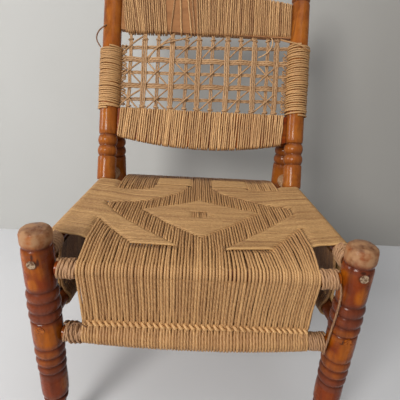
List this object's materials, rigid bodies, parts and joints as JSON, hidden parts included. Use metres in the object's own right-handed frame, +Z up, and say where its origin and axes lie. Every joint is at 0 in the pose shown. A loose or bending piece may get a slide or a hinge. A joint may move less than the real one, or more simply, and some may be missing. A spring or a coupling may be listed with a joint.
{
  "type": "lamu chair",
  "caption": "Low turned-wood chair with leaning back posts, a woven cord seat, corded aprons on all sides and a laced cord back.",
  "frame": {"origin": "on the floor, under the middle of the chair's bounding box", "axes": "+Z up, the front of the chair faces -Y, +X to the right as seen from the front"},
  "size_m": [0.4886, 0.5346, 0.789],
  "materials": {
    "varnished_wood": "turned hardwood under a glossy orange-brown varnish, worn paler on the knobs",
    "cord": "twisted straw-coloured fibre cord, matte"
  },
  "bodies": {
    "root": {"back_net": "cord", "back_peg_left": "varnished_wood", "back_peg_right": "varnished_wood", "back_post_left": "varnished_wood", "back_post_right": "varnished_wood", "front_apron_weave": "cord", "front_leg_left": "varnished_wood", "front_leg_right": "varnished_wood", "front_lower_rail": "varnished_wood", "front_seat_rail": "varnished_wood", "left_apron_weave": "cord", "left_lower_rail": "varnished_wood", "left_seat_rail": "varnished_wood", "lower_back_slat": "varnished_wood", "lower_slat_wrap": "cord", "post_windings": "cord", "rail_end_turns": "cord", "rear_apron_weave": "cord", "rear_leg_left": "varnished_wood", "rear_leg_right": "varnished_wood", "rear_lower_rail": "varnished_wood", "rear_seat_rail": "varnished_wood", "right_apron_weave": "cord", "right_lower_rail": "varnished_wood", "right_seat_rail": "varnished_wood", "seat_weave": "cord", "upper_back_slat": "varnished_wood", "upper_slat_wrap": "cord"}
  },
  "joints": []
}
